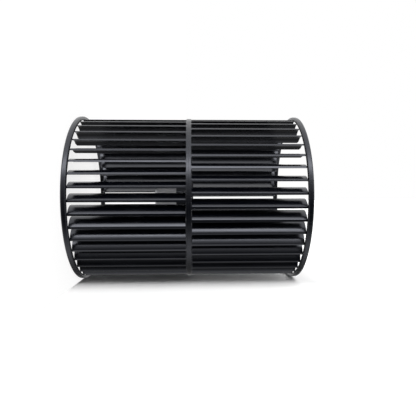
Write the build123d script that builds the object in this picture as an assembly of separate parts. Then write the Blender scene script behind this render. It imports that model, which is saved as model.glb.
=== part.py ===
from build123d import *

import os

# Double-inlet centrifugal fan wheel, standing on one end ring with its axis on +Z.
# Two moulded halves meet back to back at mid-length, and each one carries its own
# row of forward-curved blades, an end hoop outside the blade tips and half of the
# centre plate. A metal insert in the hub boss takes the motor shaft, and a set
# screw through the boss wall grips it. All sizes are in millimetres.

# Overall
wheel_length = 198.0
hoop_outer_r = 75.0

# End hoops
hoop_width = 4.5
hoop_bite = 0.4            # how far the hoop reaches in over the blade tips
hoop_round = 1.4           # rounding of the hoop's two outer edges

# Blades
blade_count = 42           # in each half
blade_tip_r = 72.5         # where the centre line of the section ends
blade_root_r = 61.8        # where it starts
blade_sweep = 5.1          # degrees that the root lags behind the tip
blade_bow = 1.45           # height of the centre line's arc over its chord
blade_thickness = 1.15
blade_phase = 6.2          # degrees from +X to the first tip of the lower row
upper_row_lag = 0.5        # how far the upper row is set back, in blade pitches

# Centre plate, half of it on each moulding
rim_thickness = 2.1
rim_proud = 0.7            # how far the rim stands out past the blade tips' centres
rim_depth = 13.4           # radial width of the thick rim that carries the blades
web_thickness = 1.6

# Hub boss, moulded with the lower half and passing through the upper half
boss_outer_r = 14.0
boss_below_joint = 12.0
boss_above_joint = 3.7
boss_root_chamfer = 1.2
boss_edge_chamfer = 0.6
boss_clearance = 0.1       # radial gap of the boss in the upper half's plate

# Hub insert
bore_r = 5.0
insert_wall = 4.0
insert_collar_r = 11.0
insert_collar_length = 4.0
bore_chamfer = 0.5

# Set screw
screw_r = 2.5
screw_length = 7.6
screw_tip_gap = 0.3        # between the screw's tip and the bore
screw_clearance = 0.05
screw_above_boss_end = 4.6
screw_point = 0.8          # chamfer of the screw's tip
socket_across_flats = 2.5
socket_depth = 2.4

joint_z = wheel_length / 2
pitch = 360 / blade_count
plate_outer_r = blade_tip_r + rim_proud
plate_inner_r = plate_outer_r - rim_depth
insert_outer_r = bore_r + insert_wall
boss_bottom_z = joint_z - boss_below_joint
boss_top_z = joint_z + boss_above_joint
screw_z = boss_bottom_z + screw_above_boss_end
screw_tip_r = bore_r + screw_tip_gap
screw_head_r = screw_tip_r + screw_length


def blade_section():
    """A thin curved strip: two circular arcs about one centre, with the tip on +X."""
    root = Vector(blade_root_r, 0).rotate(Axis.Z, -blade_sweep)
    tip = Vector(blade_tip_r, 0)
    chord = tip - root
    bulge = Vector(chord.Y, -chord.X).normalized()
    arc_r = (chord.length**2 / 4 + blade_bow**2) / (2 * blade_bow)
    centre = (root + tip) / 2 + bulge * (blade_bow - arc_r)
    half = blade_thickness / 2
    crown = centre + bulge * arc_r

    def offset_arc(step):
        return ThreePointArc(*(p + (p - centre).normalized() * step for p in (root, crown, tip)))

    back = offset_arc(half)
    front = offset_arc(-half)
    return make_face([back, Line(back @ 1, front @ 1), front, Line(front @ 0, back @ 0)])


def blade_row(phase, bottom_z, top_z):
    """One half's ring of blades between two heights."""
    blade = Pos(0, 0, bottom_z) * extrude(blade_section(), top_z - bottom_z)
    return [Rot(0, 0, phase + pitch * k) * blade for k in range(blade_count)]


def ring(inner_r, outer_r, bottom_z, top_z):
    """A plain flat ring on the wheel's axis."""
    section = Rectangle(outer_r - inner_r, top_z - bottom_z, align=(Align.MIN, Align.MIN))
    return revolve(Plane.XZ * Pos(inner_r, bottom_z) * section, Axis.Z)


def end_hoop(bottom_z):
    """The hoop round the blade tips at one end, with both outer edges rounded."""
    blank = ring(blade_tip_r - hoop_bite, hoop_outer_r, bottom_z, bottom_z + hoop_width)
    rims = blank.edges().filter_by(GeomType.CIRCLE).group_by(SortBy.RADIUS)[-1]
    return fillet(rims, hoop_round)


def half_plate(inward, hole_r):
    """Half of the centre plate: a thick rim under the blades and a thinner web.
    Its flat face lies on the joint, and inward is -1 for the lower half, +1 for
    the upper half."""
    rim_z = joint_z + inward * rim_thickness
    web_z = joint_z + inward * web_thickness
    outline = Polyline(
        (hole_r, joint_z),
        (plate_outer_r, joint_z),
        (plate_outer_r, rim_z),
        (plate_inner_r, rim_z),
        (plate_inner_r, web_z),
        (hole_r, web_z),
        close=True,
    )
    return revolve(Plane.XZ * make_face(outline), Axis.Z)


def insert_blank(extra_r):
    """The insert's outside, a bush with a collar round its middle that keys it in
    the boss. extra_r enlarges it for the pocket."""
    bush = ring(0, insert_outer_r + extra_r, boss_bottom_z, boss_top_z)
    collar_z = (boss_bottom_z + boss_top_z - insert_collar_length) / 2
    collar = ring(0, insert_collar_r + extra_r, collar_z, collar_z + insert_collar_length)
    return bush + collar


def radial_cylinder(radius, from_r, to_r):
    """A cylinder along +X at the set screw's height."""
    return Pos(from_r, 0, screw_z) * Rot(0, 90, 0) * Cylinder(
        radius, to_r - from_r, align=(Align.CENTER, Align.CENTER, Align.MIN)
    )


def make_lower_half():
    boss = ring(0, boss_outer_r, boss_bottom_z, boss_top_z)
    boss = chamfer(boss.edges().filter_by(GeomType.CIRCLE), boss_edge_chamfer)
    hub = half_plate(-1, 0) + boss
    on_boss = hub.edges().filter_by(GeomType.CIRCLE).filter_by(
        lambda edge: abs(edge.radius - boss_outer_r) < boss_clearance
    )
    at_web = on_boss.filter_by_position(Axis.Z, joint_z - rim_thickness, joint_z - web_thickness / 2)
    hub = chamfer(at_web, boss_root_chamfer)
    hub -= insert_blank(0)
    hub -= radial_cylinder(screw_r + screw_clearance, 0, boss_outer_r + 1)
    blades = blade_row(blade_phase, 0, joint_z - web_thickness)
    return hub + blades + end_hoop(0)


def make_upper_half():
    plate = half_plate(1, boss_outer_r + boss_clearance)
    blades = blade_row(blade_phase - pitch * upper_row_lag, joint_z + web_thickness, wheel_length)
    return plate + blades + end_hoop(wheel_length - hoop_width)


def make_hub_insert():
    bush = insert_blank(0) - ring(0, bore_r, boss_bottom_z, boss_top_z)
    mouths = bush.edges().filter_by(GeomType.CIRCLE).group_by(SortBy.RADIUS)[0]
    bush = chamfer(mouths, bore_chamfer)
    return bush - radial_cylinder(screw_r + screw_clearance, 0, boss_outer_r)


def make_set_screw():
    blank = radial_cylinder(screw_r, screw_tip_r, screw_head_r)
    tip_edge = blank.edges().filter_by(GeomType.CIRCLE).sort_by(Axis.X)[0]
    blank = chamfer(tip_edge, screw_point)
    socket = extrude(RegularPolygon(socket_across_flats / 2, 6, major_radius=False), socket_depth)
    return blank - Pos(screw_head_r, 0, screw_z) * Rot(0, -90, 0) * socket


parts = {
    "lower_half": make_lower_half(),
    "upper_half": make_upper_half(),
    "hub_insert": make_hub_insert(),
    "set_screw": make_set_screw(),
}

os.makedirs("parts", exist_ok=True)
for name, shape in parts.items():
    export_step(shape, f"parts/{name}.step")
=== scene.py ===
import math

import bpy
import numpy as np
from mathutils import Matrix, Vector


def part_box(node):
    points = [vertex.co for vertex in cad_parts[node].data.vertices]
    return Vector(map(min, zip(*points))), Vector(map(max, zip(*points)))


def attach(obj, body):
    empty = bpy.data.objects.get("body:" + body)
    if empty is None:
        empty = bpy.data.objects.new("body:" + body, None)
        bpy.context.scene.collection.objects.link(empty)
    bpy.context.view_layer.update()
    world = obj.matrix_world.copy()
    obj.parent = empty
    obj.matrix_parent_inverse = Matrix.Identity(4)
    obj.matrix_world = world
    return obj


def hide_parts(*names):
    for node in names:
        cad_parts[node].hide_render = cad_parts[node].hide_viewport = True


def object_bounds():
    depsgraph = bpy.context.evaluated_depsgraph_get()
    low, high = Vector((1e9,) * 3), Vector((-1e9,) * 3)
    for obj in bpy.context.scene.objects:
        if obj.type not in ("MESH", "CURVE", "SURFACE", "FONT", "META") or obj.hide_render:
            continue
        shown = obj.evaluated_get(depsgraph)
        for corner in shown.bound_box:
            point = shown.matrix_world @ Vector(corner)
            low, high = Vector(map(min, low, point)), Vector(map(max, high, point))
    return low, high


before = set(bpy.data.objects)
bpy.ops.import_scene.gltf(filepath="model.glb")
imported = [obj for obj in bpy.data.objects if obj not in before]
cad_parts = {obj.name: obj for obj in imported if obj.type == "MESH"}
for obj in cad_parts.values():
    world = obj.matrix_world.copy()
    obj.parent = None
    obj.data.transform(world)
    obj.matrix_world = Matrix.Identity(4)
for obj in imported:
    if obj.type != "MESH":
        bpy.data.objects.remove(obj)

cad_lo, cad_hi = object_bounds()


# ---------------------------------------------------------------------------
# Blades
# Each half carries a ring of thin forward-curved blades in glossy black plastic,
# injection moulded in one with its side of the centre plate. Their tips lie on a
# cylinder, and they thin a little towards the open end, just inside the hoop.
# ---------------------------------------------------------------------------

blade_count = 42
blade_tip_r = 0.0725
blade_root_r = 0.0618
blade_sweep = math.radians(5.1)
blade_bow = 0.00145
blade_half_at_end = 0.00054
blade_half_at_plate = 0.00063
blade_fillet = 0.0009
blade_end_round = 0.0003
blade_tip_round = 0.0003
blade_corner_round = 0.0009
blade_corner_power = 3
blade_stop = 0.0043        # from the wheel's end to the blade's
first_tip = math.radians(6.2)
pitch = 2 * math.pi / blade_count
joint_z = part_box("upper_half")[0].z
rim_half = 0.0021


def moulded_skin_group():
    """Shader group: fine grain is small noise, and flow streaks are noise that is
    squeezed across the wheel and stretched along its axis. Gloss is a roughness
    that the streaks and a large slow noise vary, and Film is the dust's mask."""
    group = bpy.data.node_groups.new("moulded_skin", "ShaderNodeTree")
    sockets = group.interface
    sockets.new_socket("Grain Scale", in_out="INPUT", socket_type="NodeSocketFloat")
    sockets.new_socket("Streak Scale", in_out="INPUT", socket_type="NodeSocketFloat")
    sockets.new_socket("Smoothest", in_out="INPUT", socket_type="NodeSocketFloat")
    sockets.new_socket("Roughest", in_out="INPUT", socket_type="NodeSocketFloat")
    sockets.new_socket("Height", in_out="OUTPUT", socket_type="NodeSocketFloat")
    sockets.new_socket("Gloss", in_out="OUTPUT", socket_type="NodeSocketFloat")
    sockets.new_socket("Film", in_out="OUTPUT", socket_type="NodeSocketFloat")
    nodes, links = group.nodes, group.links
    values = nodes.new("NodeGroupInput")
    result = nodes.new("NodeGroupOutput")
    place = nodes.new("ShaderNodeTexCoord")
    along = nodes.new("ShaderNodeMapping")
    along.inputs["Scale"].default_value = (1.0, 1.0, 0.06)
    links.new(place.outputs["Object"], along.inputs["Vector"])

    grain = nodes.new("ShaderNodeTexNoise")
    grain.inputs["Detail"].default_value = 3.0
    links.new(place.outputs["Object"], grain.inputs["Vector"])
    links.new(values.outputs["Grain Scale"], grain.inputs["Scale"])
    streaks = nodes.new("ShaderNodeTexNoise")
    streaks.inputs["Detail"].default_value = 4.0
    links.new(along.outputs["Vector"], streaks.inputs["Vector"])
    links.new(values.outputs["Streak Scale"], streaks.inputs["Scale"])
    patches = nodes.new("ShaderNodeTexNoise")
    patches.inputs["Scale"].default_value = 28.0
    patches.inputs["Detail"].default_value = 6.0
    links.new(place.outputs["Object"], patches.inputs["Vector"])

    relief = nodes.new("ShaderNodeMath")
    relief.operation = "MULTIPLY_ADD"
    relief.inputs[1].default_value = 0.55
    links.new(streaks.outputs["Fac"], relief.inputs[0])
    links.new(grain.outputs["Fac"], relief.inputs[2])
    links.new(relief.outputs["Value"], result.inputs["Height"])

    unevenness = nodes.new("ShaderNodeMath")
    unevenness.operation = "MULTIPLY"
    links.new(streaks.outputs["Fac"], unevenness.inputs[0])
    links.new(patches.outputs["Fac"], unevenness.inputs[1])
    gloss = nodes.new("ShaderNodeMapRange")
    gloss.inputs["From Min"].default_value = 0.12
    gloss.inputs["From Max"].default_value = 0.42
    links.new(unevenness.outputs["Value"], gloss.inputs["Value"])
    links.new(values.outputs["Smoothest"], gloss.inputs["To Min"])
    links.new(values.outputs["Roughest"], gloss.inputs["To Max"])
    links.new(gloss.outputs["Result"], result.inputs["Gloss"])

    film = nodes.new("ShaderNodeMapRange")
    film.inputs["From Min"].default_value = 0.5
    film.inputs["From Max"].default_value = 0.75
    links.new(patches.outputs["Fac"], film.inputs["Value"])
    links.new(film.outputs["Result"], result.inputs["Film"])
    return group


moulded_skin = moulded_skin_group()


def black_plastic(name, smoothest, roughest, grain_height):
    """Glass-filled black plastic. Its glossy skin has an orange-peel grain, faint flow
    streaks along the wheel and a thin film of dust that lightens it in patches."""
    material = bpy.data.materials.new(name)
    material.use_nodes = True
    nodes, links = material.node_tree.nodes, material.node_tree.links
    shader = nodes["Principled BSDF"]
    shader.inputs["IOR"].default_value = 1.5
    shader.inputs["Specular Tint"].default_value = (0.86, 0.89, 1.0, 1.0)
    skin = nodes.new("ShaderNodeGroup")
    skin.node_tree = moulded_skin
    skin.inputs["Grain Scale"].default_value = 1500.0
    skin.inputs["Streak Scale"].default_value = 420.0
    skin.inputs["Smoothest"].default_value = smoothest
    skin.inputs["Roughest"].default_value = roughest
    tint = nodes.new("ShaderNodeMix")
    tint.data_type = "RGBA"
    tint.inputs["A"].default_value = (0.001, 0.0014, 0.0032, 1.0)
    tint.inputs["B"].default_value = (0.0034, 0.0039, 0.0058, 1.0)
    links.new(skin.outputs["Film"], tint.inputs["Factor"])
    links.new(tint.outputs["Result"], shader.inputs["Base Color"])
    links.new(skin.outputs["Gloss"], shader.inputs["Roughness"])
    bump = nodes.new("ShaderNodeBump")
    bump.inputs["Strength"].default_value = 1.0
    bump.inputs["Distance"].default_value = grain_height
    links.new(skin.outputs["Height"], bump.inputs["Height"])
    links.new(bump.outputs["Normal"], shader.inputs["Normal"])
    return material


blade_plastic = black_plastic("black_plastic_blades", 0.16, 0.3, 0.00002)


def blade_arc():
    """Centre, radius and both end angles of the section's centre line, an arc
    through root and tip that bulges by blade_bow over its chord."""
    root = blade_root_r * np.array([math.cos(-blade_sweep), math.sin(-blade_sweep)])
    tip = np.array([blade_tip_r, 0.0])
    chord = tip - root
    bulge = np.array([chord[1], -chord[0]]) / np.hypot(*chord)
    arc_r = (chord @ chord / 4 + blade_bow**2) / (2 * blade_bow)
    middle = (root + tip) / 2 + bulge * (blade_bow - arc_r)
    start = math.atan2(*(root - middle)[::-1])
    end = math.atan2(*(tip - middle)[::-1])
    return middle, arc_r, start, end


def corner_curve(before, corner, after, steps=4):
    """A quadratic curve that leaves one side of a corner and joins the other."""
    t = np.linspace(0, 1, steps + 1)[:, None]
    return (1 - t) ** 2 * before + 2 * t * (1 - t) * corner + t**2 * after


def blade_section(half, side_steps=9, tip_steps=4, edge_steps=6):
    """The outline at one half thickness. Both faces are arcs about the centre line's
    centre, and the root is a half circle. The tip's end face lies on the cylinder
    through the tips: a face of radius f meets it at the angle
    acos((tip_r^2 - m^2 - f^2) / (2 m f)) from the line through both centres, which
    are m apart. Both tip corners are rounded."""
    middle, arc_r, start, end = blade_arc()
    m, line = np.hypot(*middle), math.atan2(middle[1], middle[0])

    def signed(turn):
        return (turn + math.pi) % (2 * math.pi) - math.pi

    def on_face(radius, angle):
        return middle + radius * np.stack([np.cos(angle), np.sin(angle)], -1)

    way = math.copysign(1.0, signed(end - line))

    def meets_cylinder(radius):
        return line + way * math.acos((blade_tip_r**2 - m * m - radius * radius) / (2 * m * radius))

    def face_to(radius, last, share):
        turn = signed(last - start)
        short_turn = turn - math.copysign(blade_tip_round / radius, turn)
        return on_face(radius, start + short_turn * share)

    outer, inner = arc_r + half, arc_r - half
    outer_end, inner_end = meets_cylinder(outer), meets_cylinder(inner)
    share = np.linspace(0, 1, side_steps)
    outer_face = face_to(outer, outer_end, share)
    inner_face = face_to(inner, inner_end, share[::-1])
    first, last = on_face(outer, outer_end), on_face(inner, inner_end)
    first_angle, last_angle = math.atan2(first[1], first[0]), math.atan2(last[1], last[0])
    inset = math.copysign(blade_tip_round / blade_tip_r, last_angle - first_angle)
    on_tip = np.linspace(first_angle + inset, last_angle - inset, tip_steps)
    tip_face = blade_tip_r * np.stack([np.cos(on_tip), np.sin(on_tip)], -1)
    half_turn = np.linspace(0, math.pi, edge_steps + 2)[1:-1]
    round_root = start + math.pi + math.copysign(1.0, signed(outer_end - start)) * half_turn
    root_way = np.stack([np.cos(round_root), np.sin(round_root)], -1)
    root_edge = on_face(arc_r, start) + half * root_way
    return np.concatenate([
        outer_face[:-1],
        corner_curve(outer_face[-1], first, tip_face[0]),
        tip_face[1:-1],
        corner_curve(tip_face[-1], last, inner_face[0]),
        inner_face[1:],
        root_edge,
    ])


def blade_stations(length, round_steps=4):
    """Distances from the plate and the half thickness at each. Next to the plate the
    thickness flares out along a quarter circle, at the open end it turns in along
    one, and between them it thins evenly."""
    quarter = np.linspace(0, math.pi / 2, round_steps + 1)
    near = blade_fillet * (1 - np.cos(quarter))
    far = length - blade_end_round * (1 - np.sin(quarter))
    along = np.concatenate([[-rim_half / 2], near, np.linspace(near[-1], far[0], 5)[1:-1], far])
    thinning = blade_half_at_end - blade_half_at_plate
    half = blade_half_at_plate + thinning * np.clip(along / length, 0, 1)
    half[1:round_steps + 2] += blade_fillet * (1 - np.sin(quarter))
    half[0] = half[1]
    half[-round_steps - 1:] -= blade_end_round * (1 - np.cos(quarter))
    return along, half


def mesh_piece(name, points, faces, material, sharp_degrees):
    """An object at the origin, smooth but for edges sharper than sharp_degrees."""
    mesh = bpy.data.meshes.new(name)
    mesh.from_pydata(points, [], faces)
    mesh.shade_smooth()
    mesh.set_sharp_from_angle(angle=math.radians(sharp_degrees))
    mesh.materials.append(material)
    piece = bpy.data.objects.new(name, mesh)
    bpy.context.scene.collection.objects.link(piece)
    return piece


def blade_ring(name, first, plate_z, end_z):
    """All blades of one half as one mesh: the section at each station for one blade,
    turned round the axis by each blade's angle, with a closing face at both ends.
    Near the root edge the blade's length falls off along a quarter circle, which
    rounds the free corner at the open end. The stations take their part of that by
    the cube of their share of the length."""
    length = abs(end_z - plate_z)
    along, half = blade_stations(length)
    section = np.stack([blade_section(value) for value in half])
    rows, steps = section.shape[:2]
    depth = np.clip((np.hypot(*section.mean(0).T) - blade_root_r) / blade_corner_round, 0, 1)
    cut_back = blade_corner_round * (1 - np.sqrt(1 - (1 - depth) ** 2))
    taken = np.clip(along / length, 0, 1)[:, None] ** blade_corner_power
    reach = along[:, None] * (1 - taken * cut_back / length)
    turns = first + pitch * np.arange(blade_count)
    cos, sin = np.cos(turns)[:, None, None], np.sin(turns)[:, None, None]
    x = cos * section[None, ..., 0] - sin * section[None, ..., 1]
    y = sin * section[None, ..., 0] + cos * section[None, ..., 1]
    z = plate_z + math.copysign(1.0, end_z - plate_z) * reach[None] + 0 * x
    points = np.stack([x, y, z], -1).reshape(-1, 3)

    index = np.arange(blade_count * rows * steps).reshape(blade_count, rows, steps)
    beside = np.roll(index, -1, axis=2)
    walls = np.stack([index[:, :-1], beside[:, :-1], beside[:, 1:], index[:, 1:]], -1)
    walls = walls.reshape(-1, 4)
    caps = np.concatenate([index[:, 0, ::-1], index[:, -1]])
    flat, flat_on = section[0], np.roll(section[0], -1, 0)
    area = np.sum(flat[:, 0] * flat_on[:, 1] - flat_on[:, 0] * flat[:, 1])
    if area * (end_z - plate_z) < 0:
        walls, caps = walls[:, ::-1], caps[:, ::-1]
    piece = mesh_piece(name, points, walls.tolist() + caps.tolist(), blade_plastic, 50)
    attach(piece, "root")
    return piece


lower_blades = blade_ring(
    "lower_blades", first_tip, joint_z - rim_half, cad_lo.z + blade_stop
)
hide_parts("lower_half")
upper_blades = blade_ring(
    "upper_blades", first_tip - pitch / 2, joint_z + rim_half, cad_hi.z - blade_stop
)
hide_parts("upper_half")


# ---------------------------------------------------------------------------
# End hoops
# A hoop of the same black plastic, moulded in one with the blades, ties their tips
# together at each open end. It stands proud of them, and its two outer edges are
# well rounded, so that it is easy to draw from the mould.
# ---------------------------------------------------------------------------

hoop_width = 0.0045
hoop_inner_r = 0.0721
hoop_round = 0.0014
hoop_inner_round = 0.00035

hoop_plastic = black_plastic("black_plastic_hoops", 0.2, 0.34, 0.00003)


def rounded_profile(corners, rounds, steps=6):
    """A closed outline with each corner replaced by an arc tangent to both sides.
    The arc's points are the corner's two tangent points blended by a circle."""
    corners = np.array(corners, float)
    outline = []
    for here, before, after, radius in zip(
        corners, np.roll(corners, 1, 0), np.roll(corners, -1, 0), rounds
    ):
        if radius == 0:
            outline.append(here[None])
            continue
        back = (before - here) / np.hypot(*(before - here))
        on = (after - here) / np.hypot(*(after - here))
        half = math.acos(np.clip(back @ on, -1, 1)) / 2
        centre = here + (back + on) / np.hypot(*(back + on)) * radius / math.sin(half)
        first = here + back * radius / math.tan(half) - centre
        last = here + on * radius / math.tan(half) - centre
        share = np.linspace(0, 1, steps + 1)[:, None]
        turn = math.pi - 2 * half
        blend = np.sin((1 - share) * turn) * first + np.sin(share * turn) * last
        outline.append(centre + blend / math.sin(turn))
    return np.concatenate(outline)


def turned(name, outline, material, steps=320):
    """A closed outline in (radius, height) carried once round the axis."""
    turns = np.linspace(0, 2 * math.pi, steps, endpoint=False)
    radius, height = outline[None, :, 0], outline[None, :, 1]
    x = np.cos(turns)[:, None] * radius
    y = np.sin(turns)[:, None] * radius
    points = np.stack([x, y, height + 0 * x], -1).reshape(-1, 3)
    index = np.arange(len(points)).reshape(steps, -1)
    round_on, path_on = np.roll(index, -1, 0), np.roll(index, -1, 1)
    faces = np.stack([index, round_on, np.roll(round_on, -1, 1), path_on], -1).reshape(-1, 4)
    r, z = outline[:, 0], outline[:, 1]
    if np.sum(r * np.roll(z, -1) - np.roll(r, -1) * z) < 0:
        faces = faces[:, ::-1]
    piece = mesh_piece(name, points, faces.tolist(), material, 40)
    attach(piece, "root")
    return piece


def end_hoop(name, low_z):
    """One hoop: a rounded rectangle carried round the axis."""
    high_z = low_z + hoop_width
    corners = [(hoop_inner_r, low_z), (cad_hi.x, low_z), (cad_hi.x, high_z), (hoop_inner_r, high_z)]
    outline = rounded_profile(corners, [hoop_inner_round, hoop_round, hoop_round, hoop_inner_round])
    piece = turned(name, outline, hoop_plastic)
    return piece


lower_hoop = end_hoop("lower_hoop", cad_lo.z)
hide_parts("lower_half")
upper_hoop = end_hoop("upper_hoop", cad_hi.z - hoop_width)
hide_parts("upper_half")


# ---------------------------------------------------------------------------
# Centre plate
# Each half ends in its side of the plate, a thick rim under the blades and a thinner
# web, moulded in one with them. The two lie back to back with a hairline seam round
# the rim. The lower half also carries the hub boss.
# ---------------------------------------------------------------------------

plate_outer_r = 0.0732
rim_inner_r = 0.0598
web_half = 0.0016
rim_round = 0.0004
seam = 0.00015
boss_r = 0.014
boss_round = 0.0006
boss_root_round = 0.0012
boss_gap = 0.0001
sleeve_r = 0.009
screw_hole_r = 0.00255
drill_past = 0.002         # how far the drill runs out past the wall
boss_lo, boss_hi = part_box("hub_insert")[0].z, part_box("hub_insert")[1].z
screw_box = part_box("set_screw")
screw_z = (screw_box[0].z + screw_box[1].z) / 2

plate_plastic = black_plastic("black_plastic_plate", 0.2, 0.34, 0.00003)

lower_outline = rounded_profile(
    [
        (sleeve_r, boss_lo),
        (boss_r, boss_lo),
        (boss_r, joint_z - web_half),
        (rim_inner_r, joint_z - web_half),
        (rim_inner_r, joint_z - rim_half),
        (plate_outer_r, joint_z - rim_half),
        (plate_outer_r, joint_z),
        (boss_r, joint_z),
        (boss_r, boss_hi),
        (sleeve_r, boss_hi),
    ],
    [0, boss_round, boss_root_round, seam, seam, rim_round, seam, 0, boss_round, 0],
)
lower_plate = turned("lower_plate", lower_outline, plate_plastic)


def drilled(piece, inner_x, outer_x, sides=64):
    """Takes the set screw's hole, a many-sided cylinder along X, out of a piece."""
    turns = np.linspace(0, 2 * math.pi, sides, endpoint=False)
    edge = screw_hole_r * np.stack([np.cos(turns), np.sin(turns)], 1) + (0, screw_z)
    points = np.concatenate([np.insert(edge, 0, x, axis=1) for x in (inner_x, outer_x)])
    index = np.arange(sides)
    beside = np.roll(index, -1)
    walls = np.stack([index, beside, beside + sides, index + sides], 1)
    ends = [index.tolist(), (index[::-1] + sides).tolist()]
    mesh = bpy.data.meshes.new("screw_drill")
    mesh.from_pydata(points, [], walls[:, ::-1].tolist() + ends)
    drill = bpy.data.objects.new("screw_drill", mesh)
    bpy.context.scene.collection.objects.link(drill)
    cut = piece.modifiers.new("screw_hole", "BOOLEAN")
    cut.operation = "DIFFERENCE"
    cut.solver = "EXACT"
    cut.object = drill
    bpy.context.view_layer.update()
    result = bpy.data.meshes.new_from_object(
        piece.evaluated_get(bpy.context.evaluated_depsgraph_get())
    )
    piece.modifiers.clear()
    piece.data = result
    bpy.data.objects.remove(drill)


drilled(lower_plate, 0.0, boss_r + drill_past)
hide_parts("lower_half")

upper_outline = rounded_profile(
    [
        (boss_r + boss_gap, joint_z),
        (plate_outer_r, joint_z),
        (plate_outer_r, joint_z + rim_half),
        (rim_inner_r, joint_z + rim_half),
        (rim_inner_r, joint_z + web_half),
        (boss_r + boss_gap, joint_z + web_half),
    ],
    [0, seam, rim_round, seam, seam, seam],
)
upper_plate = turned("upper_plate", upper_outline, plate_plastic)
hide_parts("upper_half")


# ---------------------------------------------------------------------------
# Hub sleeve
# A turned aluminium sleeve is moulded into the boss, stands out of it on one side
# and takes the motor shaft. Its skin shows fine lathe lines and has dulled a little,
# and the set screw's hole crosses its wall inside the boss.
# ---------------------------------------------------------------------------

bore_r = 0.005
sleeve_out = 0.0197
sleeve_chamfer = 0.0013
bore_chamfer = 0.0005

sleeve_metal = bpy.data.materials.new("sleeve_metal")
sleeve_metal.use_nodes = True
sleeve_nodes, sleeve_links = sleeve_metal.node_tree.nodes, sleeve_metal.node_tree.links
sleeve_shader = sleeve_nodes["Principled BSDF"]
sleeve_shader.inputs["Metallic"].default_value = 1.0
sleeve_place = sleeve_nodes.new("ShaderNodeTexCoord")
lathe_squeeze = sleeve_nodes.new("ShaderNodeMapping")
lathe_squeeze.inputs["Scale"].default_value = (0.05, 0.05, 1.0)
sleeve_links.new(sleeve_place.outputs["Object"], lathe_squeeze.inputs["Vector"])
lathe_lines = sleeve_nodes.new("ShaderNodeTexNoise")
lathe_lines.inputs["Scale"].default_value = 3000.0
lathe_lines.inputs["Detail"].default_value = 2.0
sleeve_links.new(lathe_squeeze.outputs["Vector"], lathe_lines.inputs["Vector"])
tarnish = sleeve_nodes.new("ShaderNodeTexNoise")
tarnish.inputs["Scale"].default_value = 260.0
tarnish.inputs["Detail"].default_value = 5.0
sleeve_links.new(sleeve_place.outputs["Object"], tarnish.inputs["Vector"])
sleeve_tint = sleeve_nodes.new("ShaderNodeMix")
sleeve_tint.data_type = "RGBA"
sleeve_tint.inputs["A"].default_value = (0.44, 0.44, 0.46, 1.0)
sleeve_tint.inputs["B"].default_value = (0.32, 0.32, 0.33, 1.0)
sleeve_links.new(tarnish.outputs["Fac"], sleeve_tint.inputs["Factor"])
sleeve_links.new(sleeve_tint.outputs["Result"], sleeve_shader.inputs["Base Color"])
sleeve_gloss = sleeve_nodes.new("ShaderNodeMapRange")
sleeve_gloss.inputs["To Min"].default_value = 0.24
sleeve_gloss.inputs["To Max"].default_value = 0.38
sleeve_links.new(tarnish.outputs["Fac"], sleeve_gloss.inputs["Value"])
sleeve_links.new(sleeve_gloss.outputs["Result"], sleeve_shader.inputs["Roughness"])
sleeve_bump = sleeve_nodes.new("ShaderNodeBump")
sleeve_bump.inputs["Distance"].default_value = 0.000002
sleeve_links.new(lathe_lines.outputs["Fac"], sleeve_bump.inputs["Height"])
sleeve_links.new(sleeve_bump.outputs["Normal"], sleeve_shader.inputs["Normal"])

sleeve_lo, sleeve_hi = boss_lo - sleeve_out, boss_hi
sleeve_outline = np.array(
    [
        (bore_r + bore_chamfer, sleeve_lo),
        (sleeve_r - sleeve_chamfer, sleeve_lo),
        (sleeve_r, sleeve_lo + sleeve_chamfer),
        (sleeve_r, sleeve_hi),
        (bore_r + bore_chamfer, sleeve_hi),
        (bore_r, sleeve_hi - bore_chamfer),
        (bore_r, sleeve_lo + bore_chamfer),
    ]
)
hub_sleeve = turned("hub_sleeve", sleeve_outline, sleeve_metal, steps=192)
drilled(hub_sleeve, 0.0, sleeve_r + drill_past)
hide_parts("hub_insert")


# ---------------------------------------------------------------------------
# Set screw
# A black-oxide steel grub screw with a hexagon socket crosses the walls of the boss
# and the sleeve and grips the shaft. Its thread is rolled, and the oxide is thin.
# ---------------------------------------------------------------------------

thread_r = 0.0025
thread_depth = 0.00028
thread_pitch = 0.0008
screw_point = 0.0007
screw_rim = 0.0003
socket_flat_r = 0.00125
socket_depth = 0.002
socket_cone = 0.0004        # the drill point left under the socket
socket_cone_r = 0.0002
tip_centre_r = 0.0004
screw_tip_x, screw_head_x = screw_box[0].x, screw_box[1].x

screw_steel = bpy.data.materials.new("screw_steel")
screw_steel.use_nodes = True
screw_nodes, screw_links = screw_steel.node_tree.nodes, screw_steel.node_tree.links
screw_shader = screw_nodes["Principled BSDF"]
screw_shader.inputs["Metallic"].default_value = 0.85
screw_place = screw_nodes.new("ShaderNodeTexCoord")
oxide = screw_nodes.new("ShaderNodeTexNoise")
oxide.inputs["Scale"].default_value = 700.0
screw_links.new(screw_place.outputs["Object"], oxide.inputs["Vector"])
screw_tint = screw_nodes.new("ShaderNodeMix")
screw_tint.data_type = "RGBA"
screw_tint.inputs["A"].default_value = (0.035, 0.035, 0.04, 1.0)
screw_tint.inputs["B"].default_value = (0.16, 0.16, 0.17, 1.0)
screw_links.new(oxide.outputs["Fac"], screw_tint.inputs["Factor"])
screw_links.new(screw_tint.outputs["Result"], screw_shader.inputs["Base Color"])
screw_gloss = screw_nodes.new("ShaderNodeMapRange")
screw_gloss.inputs["To Min"].default_value = 0.3
screw_gloss.inputs["To Max"].default_value = 0.5
screw_links.new(oxide.outputs["Fac"], screw_gloss.inputs["Value"])
screw_links.new(screw_gloss.outputs["Result"], screw_shader.inputs["Roughness"])


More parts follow.
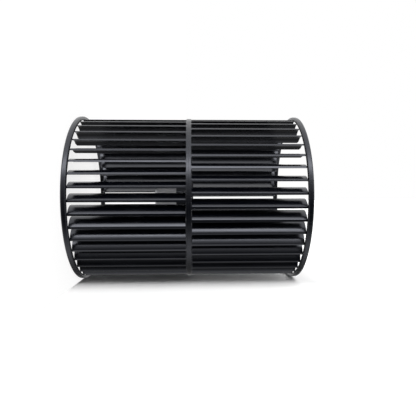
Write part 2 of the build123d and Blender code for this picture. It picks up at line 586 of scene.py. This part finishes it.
def threaded_screw(steps=96, rows_a_turn=10):
    """A grid of rings along X. On the body the radius falls below thread_r by a
    triangle wave of x / pitch less the turn's share, which makes the helix. It fades
    out towards both ends. The socket's rings run back inside along the hexagon
    whose radius is flat / cos(angle from the middle of the nearest flat)."""
    turns = np.linspace(0, 2 * math.pi, steps, endpoint=False)
    length = screw_head_x - screw_tip_x
    body_x = np.linspace(screw_point, length - screw_rim, int(length / thread_pitch * rows_a_turn))
    wave = np.abs((body_x[:, None] / thread_pitch - turns[None] / (2 * math.pi)) % 1.0 * 2 - 1)
    from_ends = np.minimum(body_x - screw_point, length - screw_rim - body_x)
    fade = np.minimum(from_ends / thread_pitch, 1.0)
    body_r = thread_r - thread_depth * (wave * fade[:, None])
    hexagon = socket_flat_r / np.cos((turns % (math.pi / 3)) - math.pi / 6)
    plain = np.ones(steps)
    socket_end = length - socket_depth
    ring_x = np.concatenate(
        [[0.0, 0.0], body_x, [length, length, socket_end, socket_end - socket_cone]]
    )
    ring_r = np.concatenate(
        [
            [plain * tip_centre_r, plain * (thread_r - screw_point)],
            body_r,
            [plain * (thread_r - screw_rim), hexagon, hexagon, plain * socket_cone_r],
        ]
    )
    x = screw_tip_x + ring_x[:, None] + 0 * ring_r
    y = ring_r * np.cos(turns)
    z = screw_z + ring_r * np.sin(turns)
    points = np.stack([x, y, z], -1).reshape(-1, 3)
    index = np.arange(len(points)).reshape(-1, steps)
    beside = np.roll(index, -1, 1)
    walls = np.stack([index[:-1], beside[:-1], beside[1:], index[1:]], -1).reshape(-1, 4)[:, ::-1]
    return points, walls.tolist() + [index[0].tolist(), index[-1, ::-1].tolist()]


screw_points, screw_faces = threaded_screw()
grub_screw = mesh_piece("grub_screw", screw_points, screw_faces, screw_steel, 40)
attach(grub_screw, "root")
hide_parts("set_screw")


# ---------------------------------------------------------------------------
# Floor
# A plain white floor that the wheel stands on. It glows towards the camera, so
# that it reads as white and still takes the wheel's shadow. Reflections pass
# through it to the studio, and it is clear from below.
# ---------------------------------------------------------------------------

floor_half = 6.0
square = ((-1, -1), (1, -1), (1, 1), (-1, 1))
floor_white = 0.22
floor_glow = 0.82


def stage_plane(name, corners, white, glow, camera_only):
    """A square of matt white with a glow that only the camera sees. Its back is
    clear to every ray. Its face is clear to reflections or, when camera_only, to
    every ray but the camera's."""
    mesh = bpy.data.meshes.new(name)
    mesh.from_pydata(corners, [], [(0, 1, 2, 3)])
    plane = bpy.data.objects.new(name, mesh)
    bpy.context.scene.collection.objects.link(plane)
    material = bpy.data.materials.new(name + "_white")
    material.use_nodes = True
    nodes, links = material.node_tree.nodes, material.node_tree.links
    matt = nodes["Principled BSDF"]
    matt.inputs["Base Color"].default_value = (white, white, white, 1)
    matt.inputs["Roughness"].default_value = 0.9
    matt.inputs["Specular IOR Level"].default_value = 0.0
    path = nodes.new("ShaderNodeLightPath")
    seen_glow = nodes.new("ShaderNodeMath")
    seen_glow.operation = "MULTIPLY"
    seen_glow.inputs[1].default_value = glow
    links.new(path.outputs["Is Camera Ray"], seen_glow.inputs[0])
    lit = nodes.new("ShaderNodeEmission")
    links.new(seen_glow.outputs["Value"], lit.inputs["Strength"])
    face = nodes.new("ShaderNodeAddShader")
    links.new(matt.outputs["BSDF"], face.inputs[0])
    links.new(lit.outputs["Emission"], face.inputs[1])
    geometry = nodes.new("ShaderNodeNewGeometry")
    passes = nodes.new("ShaderNodeMath")
    passes.operation = "MAXIMUM"
    links.new(geometry.outputs["Backfacing"], passes.inputs[0])
    if camera_only:
        others = nodes.new("ShaderNodeMath")
        others.operation = "SUBTRACT"
        others.inputs[0].default_value = 1.0
        links.new(path.outputs["Is Camera Ray"], others.inputs[1])
        links.new(others.outputs["Value"], passes.inputs[1])
    else:
        links.new(path.outputs["Is Glossy Ray"], passes.inputs[1])
    clear = nodes.new("ShaderNodeBsdfTransparent")
    surface = nodes.new("ShaderNodeMixShader")
    links.new(passes.outputs["Value"], surface.inputs["Fac"])
    links.new(face.outputs["Shader"], surface.inputs[1])
    links.new(clear.outputs["BSDF"], surface.inputs[2])
    links.new(surface.outputs["Shader"], nodes["Material Output"].inputs["Surface"])
    mesh.materials.append(material)
    return nodes, links, seen_glow


stage_plane(
    "floor",
    [(floor_half * x, floor_half * y, cad_lo.z) for x, y in square],
    floor_white,
    floor_glow,
    camera_only=False,
)


# ---------------------------------------------------------------------------
# Side board
# A matt white board on the wheel's +X side, which takes the shadow of a wheel laid
# down on its side, and which only the camera sees. Its glow is cut back towards the
# wheel, which paints a darker shadow along the wheel and past its top end. Clear of
# the wheel the board is as white as the floor.
# ---------------------------------------------------------------------------

board_x = cad_hi.x + 0.0005
board_white = 0.85
board_glow = 0.42
# Painted shadow: no board glow within the first distance of the wheel, full glow past the second
painted_shadow_from = 0.02
painted_shadow_to = 0.065

board_nodes, board_links, board_seen_glow = stage_plane(
    "side_board",
    [(board_x, floor_half * y, floor_half * z) for z, y in square],
    board_white,
    board_glow,
    camera_only=True,
)
board_place = board_nodes.new("ShaderNodeTexCoord")
across = board_nodes.new("ShaderNodeSeparateXYZ")
board_links.new(board_place.outputs["Object"], across.inputs["Vector"])
beside = board_nodes.new("ShaderNodeMath")
beside.operation = "ABSOLUTE"
board_links.new(across.outputs["Y"], beside.inputs[0])
past_top = board_nodes.new("ShaderNodeMath")
past_top.operation = "SUBTRACT"
past_top.inputs[1].default_value = cad_hi.z - painted_shadow_from
board_links.new(across.outputs["Z"], past_top.inputs[0])
from_wheel = board_nodes.new("ShaderNodeMath")
from_wheel.operation = "MAXIMUM"
board_links.new(beside.outputs["Value"], from_wheel.inputs[0])
board_links.new(past_top.outputs["Value"], from_wheel.inputs[1])
# Painted shadow: the glow rises from nil beside the wheel to board_glow clear of it, so the board
# is painted darker along the wheel
glow_outside_painted_shadow = board_nodes.new("ShaderNodeMapRange")
glow_outside_painted_shadow.interpolation_type = "SMOOTHSTEP"
glow_outside_painted_shadow.inputs["From Min"].default_value = painted_shadow_from
glow_outside_painted_shadow.inputs["From Max"].default_value = painted_shadow_to
glow_outside_painted_shadow.inputs["To Max"].default_value = board_glow
board_links.new(from_wheel.outputs["Value"], glow_outside_painted_shadow.inputs["Value"])
board_links.new(glow_outside_painted_shadow.outputs["Result"], board_seen_glow.inputs[1])


# ---------------------------------------------------------------------------
# Light and camera
# A long softbox hangs parallel to the wheel's axis, 45 degrees round from the camera
# towards -X. The studio is white straight behind the wheel, and dim from there
# towards +X and in front. The camera sees plain white in its place.
# ---------------------------------------------------------------------------

world = bpy.data.worlds.new("studio")
bpy.context.scene.world = world
world.use_nodes = True
world_nodes, world_links = world.node_tree.nodes, world.node_tree.links
background = world_nodes["Background"]
background.inputs["Color"].default_value = (1.0, 1.0, 1.0, 1.0)
view_way = world_nodes.new("ShaderNodeTexCoord")
axes = world_nodes.new("ShaderNodeSeparateXYZ")
world_links.new(view_way.outputs["Generated"], axes.inputs["Vector"])
round_angle = world_nodes.new("ShaderNodeMath")
round_angle.operation = "ARCTAN2"
for argument, axis in enumerate("XY"):
    turned_back = world_nodes.new("ShaderNodeMath")
    turned_back.operation = "MULTIPLY"
    turned_back.inputs[1].default_value = -1.0
    world_links.new(axes.outputs[axis], turned_back.inputs[0])
    world_links.new(turned_back.outputs["Value"], round_angle.inputs[argument])
turn_share = world_nodes.new("ShaderNodeMapRange")
turn_share.inputs["From Min"].default_value = -math.pi
turn_share.inputs["From Max"].default_value = math.pi
world_links.new(round_angle.outputs["Value"], turn_share.inputs["Value"])
studio = world_nodes.new("ShaderNodeFloatCurve")
curve = studio.mapping.curves[0]
curve_top = 8.0            # the level that the curve's full height stands for
studio_levels = [          # degrees round the axis from the camera towards -X, level
    (-180, 1.0), (-165, 0.6), (-148, 0.25), (-110, 0.25), (-95, 0.7), (-75, 1.25),
    (-58, 0.85), (-42, 0.3), (-28, 0.05), (-12, 0.08), (0, 0.2), (10, 0.45),
    (22, 0.9), (33, 2.2), (40, 6.0), (46, 7.5), (52, 5.0), (60, 2.6), (75, 1.9),
    (100, 1.6), (140, 1.2), (180, 1.0),
]
curve_points = [((angle + 180) / 360, level / curve_top) for angle, level in studio_levels]
curve.points[0].location = curve_points[0]
curve.points[1].location = curve_points[-1]
for along_curve, height in curve_points[1:-1]:
    curve.points.new(along_curve, height)
studio.mapping.update()
world_links.new(turn_share.outputs["Result"], studio.inputs["Value"])
studio_level = world_nodes.new("ShaderNodeMath")
studio_level.operation = "MULTIPLY"
studio_level.inputs[1].default_value = curve_top
world_links.new(studio.outputs["Value"], studio_level.inputs[0])
end_way = world_nodes.new("ShaderNodeMath")
end_way.operation = "ABSOLUTE"
world_links.new(axes.outputs["Z"], end_way.inputs[0])
end_share = world_nodes.new("ShaderNodeMapRange")
end_share.interpolation_type = "SMOOTHSTEP"
end_share.inputs["From Min"].default_value = 0.55
end_share.inputs["From Max"].default_value = 0.9
world_links.new(end_way.outputs["Value"], end_share.inputs["Value"])
with_ends = world_nodes.new("ShaderNodeMix")
with_ends.inputs["B"].default_value = 0.9
world_links.new(end_share.outputs["Result"], with_ends.inputs["Factor"])
world_links.new(studio_level.outputs["Value"], with_ends.inputs["A"])
light_path = world_nodes.new("ShaderNodeLightPath")
clear_seen = world_nodes.new("ShaderNodeMath")
clear_seen.operation = "MAXIMUM"
world_links.new(light_path.outputs["Is Camera Ray"], clear_seen.inputs[0])
world_links.new(light_path.outputs["Is Transmission Ray"], clear_seen.inputs[1])
seen_level = world_nodes.new("ShaderNodeMix")
seen_level.inputs["B"].default_value = 1.0
world_links.new(clear_seen.outputs["Value"], seen_level.inputs["Factor"])
world_links.new(with_ends.outputs["Result"], seen_level.inputs["A"])
world_links.new(seen_level.outputs["Result"], background.inputs["Strength"])

camera_data = bpy.data.cameras.new("camera")
camera_data.lens = 36.514
camera = bpy.data.objects.new("camera", camera_data)
bpy.context.scene.collection.objects.link(camera)
centre = Vector((0, 0, (cad_lo.z + cad_hi.z) / 2))
camera_from_centre = Vector((-0.00211, -0.40278, 0.00286))
camera.location = centre + camera_from_centre
forward = Vector((0.03033, 0.99885, 0.03718)).normalized()
image_up = Vector((-0.99954, 0.03023, 0.00319))
side = forward.cross(image_up).normalized()
up = side.cross(forward)
camera.rotation_mode = "QUATERNION"
camera.rotation_quaternion = Matrix((side, up, -forward)).transposed().to_quaternion()
bpy.context.scene.camera = camera
bpy.context.scene.view_settings.view_transform = "Standard"
